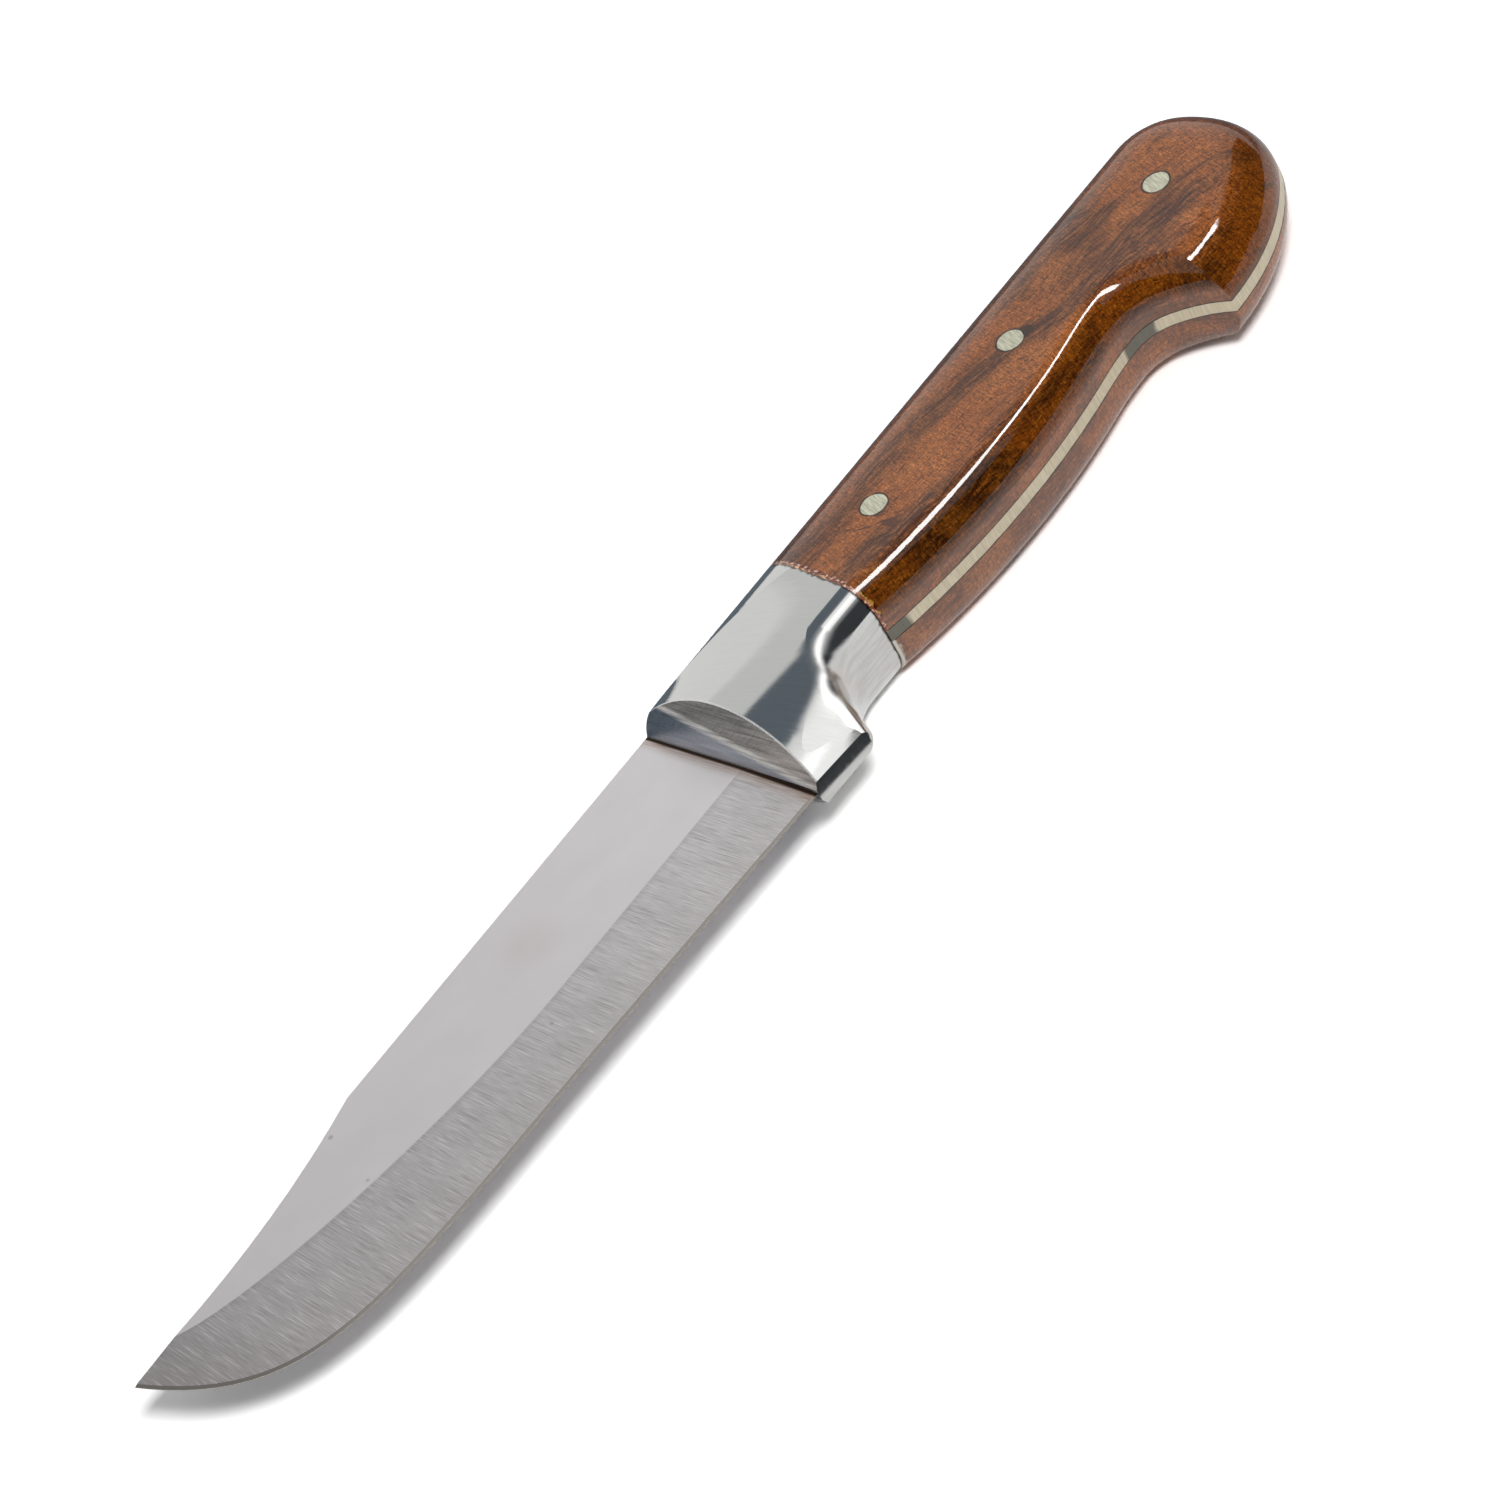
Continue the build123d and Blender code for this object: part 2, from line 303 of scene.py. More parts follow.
def away_from(tree, place, spot, ragged, amount):
    """Distance from an upright line through the spot, made uneven by a ragged pattern."""
    flat = vector(tree, "MULTIPLY", place, (1, 1, 0))
    away = vector(tree, "DISTANCE", flat, (*spot, 0)).outputs["Value"]
    return number(tree, "MULTIPLY_ADD", ragged, -amount, away)


def past_seam(tree, axes):
    """X, measured from a line that leans as the seam does."""
    return number(tree, "MULTIPLY_ADD", axes.outputs["Y"], -SEAM_SLOPE, axes.outputs["X"])


def far_side(tree, axes):
    """Nothing above the middle of the steel, and all below it."""
    return ramp(tree, axes.outputs["Z"], MID_HEIGHT + MM, MID_HEIGHT)


def dress(node, finish):
    """Gives a CAD node its material in each of its slots."""
    piece = NODES[node]
    for place in piece.material_slots:
        place.material = finish


# --- Materials -----------------------------------------------------------------------------------


def ground_stainless(steel):
    """Stainless blade stock: satin rolled flats, bevels ground across the blade, a honed edge and
    a tang edge linished square. The flat is calm and the bevels are finely lined."""
    made, tree = blank("ground_stainless_steel")
    place = add(tree, "TexCoord").outputs["Object"]
    axes = add(tree, "SeparateXYZ", {"Vector": place})
    facing = add(tree, "SeparateXYZ", {"Vector": add(tree, "NewGeometry").outputs["True Normal"]})
    height = number(tree, "SUBTRACT", axes.outputs["Z"], MID_HEIGHT)
    height = number(tree, "ABSOLUTE", height)
    level = number(tree, "ABSOLUTE", facing.outputs["Z"])
    side = ramp(tree, level, 0.6, 0.8)

    # The bevel drops away from the flat, so its depth below the flat says how far in it is.
    slope = math.tan(steel.grind_tilt)
    ground = ramp(
        tree,
        height,
        HALF_STEEL - steel.grind_fade * slope * 0.15,
        HALF_STEEL - steel.grind_fade * slope,
        ease="SMOOTHSTEP",
    )
    ground = number(tree, "MULTIPLY", ground, side)
    deep = ramp(tree, height, HALF_STEEL * 0.8, steel.hone_thickness / 2)
    honed = ramp(tree, level, 0.985, 0.97)
    honed = number(tree, "MULTIPLY", honed, side)

    # The marks lean one way at the heel and the other way at the tip.
    lean = ramp(
        tree, axes.outputs["X"], BLADE_LOW.x, 0, math.tan(steel.tip_turn), math.tan(steel.heel_turn)
    )
    across = number(tree, "MULTIPLY_ADD", axes.outputs["Y"], lean, axes.outputs["X"])
    lay = add(tree, "CombineXYZ", {"X": across, "Y": axes.outputs["Y"]})
    # Real grinding marks are about 0.05 mm wide; these are drawn coarser so that they show.
    fine = streaks(tree, lay, (steel.scratch_spacing, steel.scratch_length, 1), 0, 3, 0.6)
    hair = streaks(tree, lay, (steel.scratch_spacing * 0.6, steel.scratch_length * 0.35, 1), 0, 2)
    broad = streaks(tree, lay, (steel.scratch_spacing * 14, steel.scratch_length * 3, 1), 0, 2)
    cloud = streaks(tree, place, (14 * MM, 9 * MM, 9 * MM))
    grit = streaks(tree, place, (0.5 * MM, 0.9 * MM, 0.5 * MM), 0, 2)

    # Flat: one calm colour with faint clouds, and painted shade that darkens it toward the tip.
    painted_tip_shade = ramp(tree, axes.outputs["X"], BLADE_LOW.x, FALL_START, steel.tip_flat_painted_shade)
    pale = ramp(tree, cloud, 0.3, 0.7, 0.97, 1.02)
    flat = vector(tree, "MULTIPLY", tuple(steel.flat), pale)
    flat = vector(tree, "MULTIPLY", flat, painted_tip_shade)

    # Bevel: fine lines, painted shade just inside the grind line and toward the tip, warm near the
    # edge.
    painted_tip_shade = ramp(tree, axes.outputs["X"], BLADE_LOW.x, FALL_START, steel.tip_grind_painted_shade)
    band = ramp(tree, broad, 0.35, 0.65, 0.95, 1.05)
    bevel = vector(tree, "MULTIPLY", tuple(steel.grind), painted_tip_shade)
    # Painted shade: the last stretch before the tip is drawn darker still.
    end = ramp(tree, axes.outputs["X"], BLADE_LOW.x, BLADE_LOW.x + TIP_END, TIP_END_SHADE)
    bevel = vector(tree, "MULTIPLY", bevel, end)
    bevel = vector(tree, "MULTIPLY", bevel, band)
    # Painted shade: a darker band just inside the grind line.
    painted_grind_shade = ramp(tree, height, HALF_STEEL, HALF_STEEL - steel.painted_shade_width * slope, 0.86)
    bevel = vector(tree, "MULTIPLY", bevel, painted_grind_shade)
    warm = number(tree, "MULTIPLY", deep, 0.15)
    bevel = mix(tree, warm, bevel, rgba(steel.warm))
    shine = ramp(tree, hair, 0.35, 0.65, 0.9, 1.1)
    bevel = vector(tree, "MULTIPLY", bevel, shine)
    dark = ramp(tree, fine, 0.55, 0.66, high=0.6)
    bevel = mix(tree, dark, bevel, rgba(steel.scratch))
    bright = ramp(tree, fine, 0.45, 0.34, high=0.38)
    bevel = mix(tree, bright, bevel, rgba(steel.shine))
    skin = mix(tree, ground, flat, bevel)
    skin = mix(tree, honed, skin, rgba(steel.hone))

    # Marks on the flat: one faint warm patch and a few specks.
    for spot, reach, tint, strength in BLADE_MARKS:
        away = away_from(tree, place, spot, cloud if reach > MM else grit, reach * 0.6)
        mark = ramp(tree, away, reach * 0.8, 0, high=strength)
        skin = mix(tree, mark, skin, rgba(getattr(steel, tint)))

    # Tang: linished across its thin edge, so its marks run from scale to scale.
    cross = streaks(tree, place, (0.4 * MM, 0.4 * MM, 4 * MM))
    linish = ramp(tree, cross, 0.3, 0.7, 0.82, 1.06)
    strip = vector(tree, "MULTIPLY", tuple(steel.tang), linish)
    for spot, reach in TANG_PATCHES:
        away = away_from(tree, place, spot, cloud, reach)
        mark = ramp(tree, away, reach * 0.6, reach * 0.4, high=0.85)
        strip = mix(tree, mark, strip, rgba(steel.patch))
    skin = mix(tree, side, strip, skin)

    # Thin rust and a dark joint line, only where the blade leaves the bolster.
    near = ramp(
        tree,
        axes.outputs["X"],
        BLADE_ROOT - steel.rust_reach,
        BLADE_ROOT,
        high=0.9,
        ease="SMOOTHERSTEP",
    )
    broken = ramp(tree, fine, 0.35, 0.65, 0.25)
    film = number(tree, "MULTIPLY", near, broken)
    film = number(tree, "MULTIPLY", film, side)
    clean = ramp(tree, honed, 0, 1, 1, 0.2)
    film = number(tree, "MULTIPLY", film, clean)
    skin = mix(tree, film, skin, rgba(steel.rust))
    joint = ramp(tree, axes.outputs["X"], BLADE_ROOT - 0.85 * MM, BLADE_ROOT - 0.5 * MM)
    joint = number(tree, "MULTIPLY", joint, side)
    skin = mix(tree, joint, skin, rgba(steel.grime))

    gloss = ramp(tree, fine, 0.3, 0.7, 0.3, 0.4)
    gloss = number(tree, "MULTIPLY_ADD", honed, 0.15, gloss)
    relief = number(tree, "MULTIPLY", fine, ground)
    bump = add(tree, "Bump", {"Height": relief, "Strength": 0.3, "Distance": 0.004 * MM})
    close(
        tree,
        add(
            tree,
            "BsdfPrincipled",
            {"Base Color": skin, "Metallic": 1, "Roughness": gloss, "Normal": bump},
        ),
    )
    return made


def mirror_polish(steel):
    """Cast stainless polished on a felt wheel: a clear mirror with hairlines and a few pits. The
    two front facets are left from the belt, so they look duller and streaked along their length."""
    made, tree = blank("mirror_polished_steel")
    place = add(tree, "TexCoord").outputs["Object"]
    axes = add(tree, "SeparateXYZ", {"Vector": place})
    facing = add(tree, "SeparateXYZ", {"Vector": add(tree, "NewGeometry").outputs["True Normal"]})
    wipe = streaks(tree, place, (0.3 * MM, 7 * MM, 3 * MM), math.radians(25), 4, 0.6)
    cloud = streaks(tree, place, (5 * MM,) * 3, 0, 2)
    cells = add(tree, "Mapping", {"Vector": place, "Scale": (4 * MM,) * 3}, vector_type="TEXTURE")
    cells = add(tree, "TexVoronoi", {"Vector": cells, "Scale": 1, "Randomness": 1})
    pits = ramp(tree, cells, 0.06, 0.035)
    some = ramp(tree, cloud, 0.55, 0.6)
    pits = number(tree, "MULTIPLY", pits, some)
    tone = ramp(tree, wipe, 0.3, 0.7, 0.97, 1.02)
    skin = vector(tree, "MULTIPLY", tuple(steel.polish), tone)

    # Faint smears on the underside break up its plain shine. They are made up.
    smear = streaks(tree, place, (5 * MM, 7 * MM, 0.8 * MM), math.radians(35), 3)
    smear = ramp(tree, smear, 0.35, 0.6, 0.87)
    wall = ramp(tree, facing.outputs["Y"], -0.8, -0.95)
    smeared = vector(tree, "MULTIPLY", skin, smear)
    skin = mix(tree, wall, skin, smeared)

    # A ragged line of dirt lies at the very end, along the seam.
    lean = past_seam(tree, axes)
    ragged = streaks(tree, place, (0.9 * MM,) * 3, 0, 2)
    dirt = number(tree, "MULTIPLY_ADD", ragged, 1.2 * MM, lean)
    dirt = ramp(tree, dirt, BOLSTER_END + 0.1 * MM, BOLSTER_END + 0.4 * MM, high=0.75)
    skin = mix(tree, dirt, skin, rgba(steel.grime))

    # Belt marks on the facets, with a painted highlight line where the two facets join.
    front = ramp(tree, facing.outputs["X"], -0.6, -0.75)
    belt = streaks(tree, place, (0.5 * MM, 9 * MM, 0.35 * MM), 0, 4, 0.65)
    shade = ramp(tree, belt, 0.35, 0.65, 0.55, 1.25)
    dull = vector(tree, "MULTIPLY", tuple(steel.linish), shade)
    split = vector(tree, "DOT_PRODUCT", place, FACET_SPLIT[0]).outputs["Value"]
    split = number(tree, "ADD", split, FACET_SPLIT[1])
    cool = ramp(tree, split, -0.02 * MM, 0.02 * MM)
    lower = vector(tree, "MULTIPLY", tuple(steel.facet), shade)
    lower = mix(tree, 0.5, lower, rgba(steel.facet))
    dull = mix(tree, cool, dull, lower)
    painted_highlight_lines = number(tree, "ABSOLUTE", split)
    painted_highlight_lines = ramp(tree, painted_highlight_lines, 0.09 * MM, 0.03 * MM)
    line = ramp(tree, belt, 0.4, 0.6, 0.3)
    painted_highlight_lines = number(tree, "MULTIPLY", painted_highlight_lines, line)
    painted_highlight_lines = number(tree, "MULTIPLY", painted_highlight_lines, front)
    # A painted highlight along the arc where the cheek meets the facets, standing in for the glint
    # of a rounded edge.
    painted_ridge_highlight = vector(tree, "DOT_PRODUCT", place, FACET_EDGE[0]).outputs["Value"]
    painted_ridge_highlight = number(tree, "ADD", painted_ridge_highlight, FACET_EDGE[1])
    painted_ridge_highlight = ramp(tree, painted_ridge_highlight, steel.painted_ridge_highlight, steel.painted_ridge_highlight * 0.6)
    crown = ramp(tree, facing.outputs["Z"], 0.6, 0.7)
    painted_ridge_highlight = number(tree, "MULTIPLY", painted_ridge_highlight, crown)
    painted_highlight_lines = number(tree, "MAXIMUM", painted_highlight_lines, painted_ridge_highlight)
    skin = mix(tree, front, skin, dull)
    skin = mix(tree, painted_highlight_lines, skin, rgba(steel.shine))
    skin = mix(tree, pits, skin, rgba(steel.pit))

    gloss = ramp(tree, wipe, 0.35, 0.75, 0.05, 0.12)
    rough = ramp(tree, front, 0, 1, high=0.2)
    gloss = number(tree, "ADD", gloss, rough)
    gloss = number(tree, "MULTIPLY_ADD", painted_highlight_lines, 0.5, gloss)
    relief = number(tree, "SUBTRACT", wipe, pits)
    # The belly blends into the sweep of the guard, as a felt wheel would leave it.
    blend = add(tree, "Bevel", {"Radius": steel.blend}, samples=12)
    away = vector(tree, "SUBTRACT", place, BLEND_SPOT)
    away = vector(tree, "DIVIDE", away, BLEND_REACH)
    away = vector(tree, "LENGTH", away).outputs["Value"]
    away = ramp(tree, away, 1, 0.7, ease="SMOOTHSTEP")
    true = add(tree, "NewGeometry").outputs["Normal"]
    round_off = mix(tree, away, true, blend)
    bump = add(
        tree,
        "Bump",
        {"Height": relief, "Strength": 0.15, "Distance": 0.001 * MM, "Normal": round_off},
    )
    close(
        tree,
        add(
            tree,
            "BsdfPrincipled",
            {"Base Color": skin, "Metallic": 1, "Roughness": gloss, "Normal": bump},
        ),
    )
    return made


def lacquered_walnut(name, wood, seed):
    """Walnut under a thick clear lacquer: dark figure, fibre streaks and silky rays lie below a
    sharp gloss that ripples a little, so highlights have ragged edges."""
    made, tree = blank(name)
    place = add(tree, "TexCoord").outputs["Object"]
    axes = add(tree, "SeparateXYZ", {"Vector": place})
    drift = vector(tree, "ADD", place, (0, 0, seed))
    drift = streaks(tree, drift, (38 * MM, 14 * MM, 14 * MM), 0, 2)
    bent = vector(tree, "MULTIPLY_ADD", drift.outputs["Color"], (0, 14 * MM, 6 * MM), place)
    figure = streaks(
        tree, bent, (wood.figure * 5, wood.figure, wood.figure), wood.grain_turn, 3, 0.5
    )
    fibre = streaks(tree, bent, (wood.fibre * 12, wood.fibre, wood.fibre), wood.grain_turn, 3, 0.6)
    pore = streaks(tree, bent, (wood.pore_length, 0.25 * MM, 0.25 * MM), wood.grain_turn, 1)
    # Rays cross the grain and give the silky hatch.
    ray = streaks(tree, place, (0.32 * MM, 1.6 * MM, 1.6 * MM), wood.grain_turn, 2)
    fleck = streaks(tree, place, (0.4 * MM, 0.4 * MM, 0.4 * MM), 0, 2)
    patch = streaks(tree, bent, (16 * MM, 9 * MM, 9 * MM), wood.grain_turn, 2)

    shade = ramp(tree, figure, 0.58, 0.39, ease="SMOOTHSTEP")
    skin = mix(tree, shade, rgba(wood.middle), rgba(wood.dark))
    lit = ramp(tree, fibre, 0.42, 0.68, high=0.6)
    skin = mix(tree, lit, skin, rgba(wood.light))
    glow = ramp(tree, patch, 0.5, 0.68, high=0.45)
    skin = mix(tree, glow, skin, rgba(wood.light))
    silk = ramp(tree, ray, 0.3, 0.7, 0.56, 1.44)
    skin = vector(tree, "MULTIPLY", skin, silk)
    dust = ramp(tree, fleck, 0.35, 0.65, 0.62, 1.38)
    skin = vector(tree, "MULTIPLY", skin, dust)
    open_pore = ramp(tree, pore, 0.6, 0.7, high=0.8)
    skin = mix(tree, open_pore, skin, rgba(wood.pore))

    # A patch of curl by the front rivet: dark bars across the grain.
    bars = streaks(tree, bent, (1.1 * MM, 7 * MM, 7 * MM), wood.curl_turn, 2)
    bars = ramp(tree, bars, 0.5, 0.6, high=0.9)
    away = away_from(tree, place, CURL_SPOT, patch, 6 * MM)
    local = ramp(tree, away, 8 * MM, 0, ease="SMOOTHSTEP")
    bars = number(tree, "MULTIPLY", bars, local)
    skin = mix(tree, bars, skin, rgba(wood.dark))

    # Dark filler lies in a thin ring round each rivet, and in one larger blot by the middle one.
    ragged = streaks(tree, place, (0.8 * MM,) * 3, 0, 2)
    for node in RIVETS:
        low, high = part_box(node)
        middle = (low + high) / 2
        head = (high.x - low.x) / 2
        away = away_from(tree, place, (middle.x, middle.y), ragged, 0.6 * MM)
        ring = ramp(tree, away, head + 0.1 * MM, head - 0.15 * MM)
        skin = mix(tree, ring, skin, rgba(wood.filler))
    away = away_from(tree, place, BLOT_SPOT, ragged, 1.6 * MM)
    blot = ramp(tree, away, 0.9 * MM, 0.6 * MM, high=0.85)
    skin = mix(tree, blot, skin, rgba(wood.filler))

    # Filler from the seam has run onto the wood, in dark and copper crumbs.
    lean = past_seam(tree, axes)
    wander = streaks(tree, place, (1.3 * MM,) * 3, 0, 3, 0.7)
    past = number(tree, "MULTIPLY_ADD", wander, -2 * MM, lean)
    run = ramp(tree, past, SEAM_FOOT - 0.55 * MM, SEAM_FOOT - 0.75 * MM)
    crumb = ramp(tree, ragged, 0.5, 0.58)
    tint = mix(tree, crumb, rgba(wood.stain), rgba(wood.crumb))
    tint = mix(tree, far_side(tree, axes), tint, rgba(wood.putty))
    skin = mix(tree, run, skin, tint)

    # Painted shade: where the left scale turns down it is drawn deeper and more golden than the
    # flat, standing in for the dimmer light on its rounding; the colour stays in any light. That
    # it is soaked stain is a guess: the colour stays in any light.
    turned = add(tree, "SeparateXYZ", {"Vector": add(tree, "NewGeometry").outputs["Normal"]})
    over = ramp(tree, turned.outputs["Z"], 0.97, 0.8)
    under = ramp(tree, turned.outputs["Z"], -0.05, 0.1)
    painted_shade_share = number(tree, "MULTIPLY", over, under)
    deep = vector(tree, "MULTIPLY", skin, tuple(wood.rounding_painted_shade))
    skin = mix(tree, painted_shade_share, skin, deep)
    # Painted reflection: a pale veil, faint on the flat, stronger toward the tang and on the far
    # scale, standing in for the lacquer's sheen of the pale surroundings. That it is haze in the
    # lacquer, and no reflection, is a guess.
    painted_sheen_share = ramp(tree, turned.outputs["Z"], 0.25, 0, high=0.3)
    flat_painted_sheen = ramp(tree, turned.outputs["Z"], 0.9, 0.97, high=0.09)
    painted_sheen_share = number(tree, "ADD", painted_sheen_share, flat_painted_sheen)
    skin = mix(tree, painted_sheen_share, skin, rgba(wood.painted_sheen))

    ripple = streaks(tree, place, (wood.lacquer_wave,) * 3, 0, 3, 0.55)
    lacquer = add(tree, "Bump", {"Height": ripple, "Strength": 0.5, "Distance": 0.03 * MM})
    relief = add(tree, "Bump", {"Height": fibre, "Strength": 0.4, "Distance": 0.02 * MM})
    close(
        tree,
        add(
            tree,
            "BsdfPrincipled",
            {
                "Base Color": skin,
                "Roughness": 0.5,
                "IOR": 1.5,
                "Specular IOR Level": 0,
                "Normal": relief,
                "Coat Weight": 1,
                "Coat Roughness": 0.03,
                "Coat IOR": 1.45,
                "Coat Normal": lacquer,
            },
        ),
    )
    return made


def nickel_silver(trim):
    """Nickel silver ground flush with the wood: pale, a little yellow, with short belt marks. Its
    rim is uneven, where dark filler laps over it."""
    made, tree = blank("brushed_nickel_silver")
    place = add(tree, "TexCoord").outputs["Object"]
    marks = streaks(tree, place, (0.3 * MM, 2.4 * MM, 3 * MM), math.radians(-20))
    tone = ramp(tree, marks, 0.35, 0.65, 0.72, 1.1)
    skin = vector(tree, "MULTIPLY", tuple(trim.rivet), tone)
    ragged = streaks(tree, place, (2.2 * MM,) * 3, 0, 3, 0.6)
    for node in RIVETS:
        low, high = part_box(node)
        middle = (low + high) / 2
        head = (high.x - low.x) / 2
        away = away_from(tree, place, (middle.x, middle.y), ragged, -trim.rivet_gap * 2)
        # Only this rivet's own rim is lapped, so the mask fades out before the next rivet.
        rim = ramp(tree, away, head + 0.6 * trim.rivet_gap, head + 1.0 * trim.rivet_gap)
        own = ramp(tree, away, head * 3, head * 2)
        rim = number(tree, "MULTIPLY", rim, own)
        skin = mix(tree, rim, skin, rgba(trim.glue))
    bump = add(tree, "Bump", {"Height": marks, "Strength": 0.5, "Distance": 0.01 * MM})
    close(
        tree,
        add(
            tree,
            "BsdfPrincipled",
            {"Base Color": skin, "Metallic": 1, "Roughness": 0.38, "Normal": bump},
        ),
    )
    return made


def dark_epoxy(trim):
    """Epoxy glue squeezed out and wiped: a thin dark line with a dull skin."""
    made, tree = blank("dark_epoxy_glue")
    place = add(tree, "TexCoord").outputs["Object"]
    grime = add(tree, "Mapping", {"Vector": place, "Scale": (2 * MM,) * 3}, vector_type="TEXTURE")
    grime = add(tree, "TexNoise", {"Vector": grime, "Scale": 1, "Detail": 3})
    tone = ramp(tree, grime, 0.3, 0.7, 0.6, 1.8)
    skin = vector(tree, "MULTIPLY", tuple(trim.glue), tone)
    close(tree, add(tree, "BsdfPrincipled", {"Base Color": skin, "Roughness": 0.5, "IOR": 1.55}))
    return made


def amber_filler(trim):
    """Amber filler with copper flakes: a rough bead that glitters orange between steel and wood."""
    made, tree = blank("amber_seam_filler")
    place = add(tree, "TexCoord").outputs["Object"]
    flake = streaks(tree, place, (0.7 * MM,) * 3, 0, 3, 0.7)
    bright = ramp(tree, flake, 0.5, 0.6)
    skin = mix(tree, bright, rgba(trim.resin), rgba(trim.sparkle))
    axes = add(tree, "SeparateXYZ", {"Vector": place})
    skin = mix(tree, far_side(tree, axes), skin, rgba(trim.putty))
    bump = add(tree, "Bump", {"Height": flake, "Strength": 0.8, "Distance": 0.08 * MM})
    close(
        tree,
        add(
            tree,
            "BsdfPrincipled",
            {
                "Base Color": skin,
                "Roughness": 0.35,
                "IOR": 1.52,
                "Coat Weight": 0.5,
                "Normal": bump,
            },
        ),
    )
    return made


def white_table(studio):
    """White laminate: plain and matt, a little brighter for the lens and for gloss, so that the
    open table is white and the shadow of the knife stays."""
    made, tree = blank("white_laminate")
    path = add(tree, "LightPath")
    seen = number(
        tree,
        "MULTIPLY_ADD",
        path.outputs["Is Glossy Ray"],
        studio.table_gloss,
        path.outputs["Is Camera Ray"],
    )
    white = ramp(tree, seen, 0, 1, studio.table, studio.table_seen)
    white = add(tree, "CombineColor", {"Red": white, "Green": white, "Blue": white})
    close(tree, add(tree, "BsdfDiffuse", {"Color": white}))
    return made


def flag_cloth(name, tint, soft):
    """Plain flag cloth with a feathered border, so that its edge is soft in the polish."""
    made, tree = blank(name)
    place = add(tree, "TexCoord").outputs["Object"]
    inside = vector(tree, "ABSOLUTE", place)
    axes = add(tree, "SeparateXYZ", {"Vector": inside})
    wide = ramp(tree, axes.outputs["X"], 1, 1 - soft[0], ease="SMOOTHSTEP")
    high = ramp(tree, axes.outputs["Y"], 1, 1 - soft[1], ease="SMOOTHSTEP")
    cover = number(tree, "MULTIPLY", wide, high)
    cloth = add(tree, "Emission", {"Color": rgba(tint)})
    clear = add(tree, "BsdfTransparent")
    close(tree, add(tree, "MixShader", {0: cover, 1: clear, 2: cloth}))
    return made


# --- Studio --------------------------------------------------------------------------------------

# The lens looks at this point of the knife from this side.
AIM = Vector((0.718, 1.294, 11.0)) * MM
LENS_DISTANCE = 1487.317 * MM
LENS_AZIMUTH = math.radians(-28.928)
LENS_ELEVATION = math.radians(38.962)
LENS_ROLL = math.radians(-31.319)
LENS_LENGTH = 206.67
# Lamps and flags hang this far off; a lamp for one piece hangs a little nearer.
REACH = 3.0
NEARER = 0.9
STRIP_TURN = math.radians(45)
TABLE_RADIUS = 8
TABLE_SIDES = 96
# Two dark cards lie just over the table, each given by its place and half size. One is behind the
# knife for the gloss of its spine and front facets. The other is painted shadow: it stands in for
# the knife's shadow on the table, as the guard's underside sees it.
CARD_LIFT = 0.2 * MM
BEHIND_CARD = ((AIM.x, 0.25), (0.6, 0.258))
SHADOW_STANDIN_CARD = ((9 * MM, -35 * MM), (14 * MM, 4 * MM))


def tilted(along_x, along_y):
    """Direction tilted from straight up by these degrees toward +X and toward +Y."""
    tilt = math.hypot(along_x, along_y)
    level = math.sin(math.radians(tilt)) / tilt
    return Vector((along_x * level, along_y * level, math.cos(math.radians(tilt))))


def hung(direction, distance, turn=0):
    """Place and turn of a lamp or flag hung that way off the knife, its width along X."""
    wide = Vector((1, 0, 0))
    wide = (wide - direction * wide.dot(direction)).normalized()
    axes = Matrix((wide, direction.cross(wide), direction)).transposed().to_4x4()
    return Matrix.Translation(AIM + direction * distance) @ axes @ Matrix.Rotation(turn, 4, "Z")


def laid(place, half):
    """Place and size of a card that lies just over the table."""
    level = Matrix.Translation((*place, CAD_BOX[0].z + CARD_LIFT))
    return level @ Matrix.Diagonal((*half, 1, 1))


def feather(light, soft):
    """Fades a lamp's face toward its border over this share of its half width and half height."""
    light.use_nodes = True
    tree = light.node_tree
    tree.nodes.clear()
    across = add(tree, "NewGeometry").outputs["Parametric"]
    across = vector(tree, "SUBTRACT", across, (0.5, 0.5, 0.5))
    axes = add(tree, "SeparateXYZ", {"Vector": vector(tree, "ABSOLUTE", across)})
    face = []
    for axis in ("X", "Y"):
        face.append(ramp(tree, axes.outputs[axis], 0.5, 0.5 - soft / 2, ease="SMOOTHSTEP"))
    level = number(tree, "MULTIPLY", face[0], face[1])
    close(tree, add(tree, "Emission", {"Strength": level}), "OutputLight")


def hang_lamp(name, centre, spread, radiance, soft, turn=0, gloss=True, only=None, spare=None):
    """An area lamp that covers this spread of degrees round the centre and has this radiance. It
    is seen either in gloss or by matt surfaces, and may light only one piece, or spare one."""
    size = [2 * REACH * math.tan(math.radians(degrees / 2)) for degrees in spread]
    light = bpy.data.lights.new(name, "AREA")
    light.shape = "RECTANGLE"
    light.size, light.size_y = size
    light.energy = radiance * math.pi * size[0] * size[1]
    feather(light, soft)
    lamp = bpy.data.objects.new(name, light)
    lamp.matrix_world = hung(tilted(*centre), REACH * (NEARER if only else 1), turn)
    lamp.visible_camera = False
    lamp.visible_glossy = gloss
    lamp.visible_diffuse = not gloss
    bpy.context.scene.collection.objects.link(lamp)
    if only or spare:
        lit = bpy.data.collections.new(name + "_lit")
        lit.objects.link(only or spare)
        lamp.light_linking.receiver_collection = lit
        lit.collection_objects[0].light_linking.link_state = "INCLUDE" if only else "EXCLUDE"


def hang_flag(name, centre, spread, cloth):
    """A flag that only the gloss of the knife sees, over this spread of degrees."""
    size = [REACH * math.tan(math.radians(degrees / 2)) for degrees in spread]
    put_card(name, hung(tilted(*centre), REACH) @ Matrix.Diagonal((size[0], size[1], 1, 1)), cloth)


